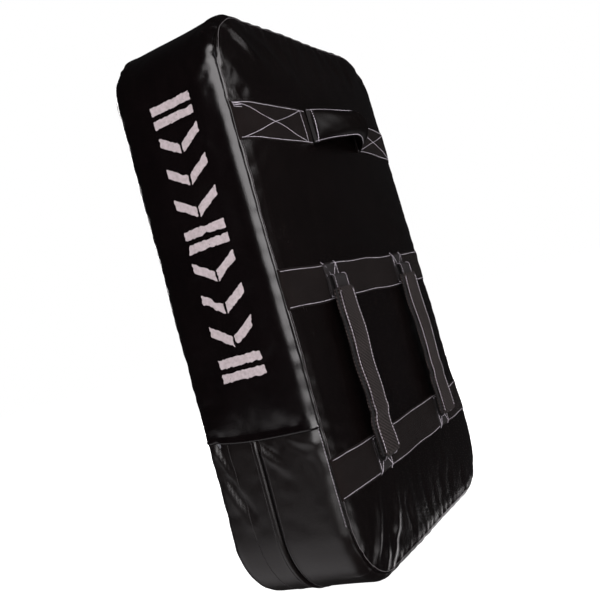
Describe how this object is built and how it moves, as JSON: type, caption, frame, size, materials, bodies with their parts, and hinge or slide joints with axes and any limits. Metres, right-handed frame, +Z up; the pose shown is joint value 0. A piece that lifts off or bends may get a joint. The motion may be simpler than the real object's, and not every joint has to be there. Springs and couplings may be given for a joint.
{
  "type": "kick shield",
  "caption": "Rectangular padded kick shield in a sewn vinyl cover, with an arched carry handle, webbing forearm straps and a zipped bottom gusset.",
  "frame": {"origin": "on the bottom gusset, midway across the width and midway between the two edge seams", "axes": "+Z up along the shield's length, +Y towards the strike face, -Y towards the holder, +X across the width"},
  "size_m": [0.3928, 0.1959, 0.6],
  "materials": {
    "vinyl": "semi-gloss black artificial leather with fine grain",
    "handle_vinyl": "soft black artificial leather",
    "band_fabric": "matt black woven band",
    "grip_webbing": "dark grey-brown woven webbing",
    "soft_foam": "soft open foam",
    "firm_foam": "firm closed-cell foam",
    "zip_nylon": "black nylon",
    "zip_metal": "black enamelled zinc",
    "thread": "pale heavy sewing thread",
    "print": "pale screen print"
  },
  "bodies": {
    "shield": {"foam_core": "soft_foam", "foam_strike_layer": "firm_foam", "foam_back_layer": "firm_foam", "strike_panel": "vinyl", "back_panel": "vinyl", "upper_gusset": "vinyl", "lower_gusset_front": "vinyl", "lower_gusset_rear": "vinyl", "cross_seam_facing_left": "band_fabric", "cross_seam_facing_right": "band_fabric", "zip_facing_front": "band_fabric", "zip_facing_rear": "band_fabric", "zip_tape_front": "zip_nylon", "zip_tape_rear": "zip_nylon", "zip_coil_front": "zip_nylon", "zip_coil_rear": "zip_nylon", "zip_top_stop": "zip_metal", "zip_end_stop": "zip_metal", "upper_band_left": "band_fabric", "upper_band_right": "band_fabric", "mid_band": "band_fabric", "lower_band": "band_fabric", "left_strap_tab_top": "grip_webbing", "left_strap_tab_bottom": "grip_webbing", "right_strap_tab_top": "grip_webbing", "right_strap_tab_bottom": "grip_webbing"},
    "carry_handle": {"carry_handle_cover": "handle_vinyl", "carry_handle_pad": "firm_foam", "carry_handle_webbing": "grip_webbing"},
    "left_strap": {"left_strap_backing": "grip_webbing", "left_strap_pad": "firm_foam", "left_strap_facing": "grip_webbing"},
    "right_strap": {"right_strap_backing": "grip_webbing", "right_strap_pad": "firm_foam", "right_strap_facing": "grip_webbing"},
    "slider": {"zip_slider": "zip_metal"},
    "pull": {"zip_pull": "zip_metal"}
  },
  "joints": [
    {"name": "carry_handle_swing", "type": "hinge", "parent": "shield", "child": "carry_handle", "pos_m": [0, -0.0879, 0.4735], "axis": [1, 0, 0], "range_deg": [-20, 20]},
    {"name": "left_strap_lift", "type": "slide", "parent": "shield", "child": "left_strap", "axis": [0, -1, 0], "range_m": [0, 0.035]},
    {"name": "right_strap_lift", "type": "slide", "parent": "shield", "child": "right_strap", "axis": [0, -1, 0], "range_m": [0, 0.035]},
    {"name": "zip_slider_travel", "type": "slide", "parent": "shield", "child": "slider", "axis": [0, 0, -1], "range_m": [0, 0.06]},
    {"name": "zip_pull_swing", "type": "hinge", "parent": "slider", "child": "pull", "pos_m": [0.1959, 0.005, 0.145], "axis": [0, -1, 0], "range_deg": [0, 100]}
  ]
}
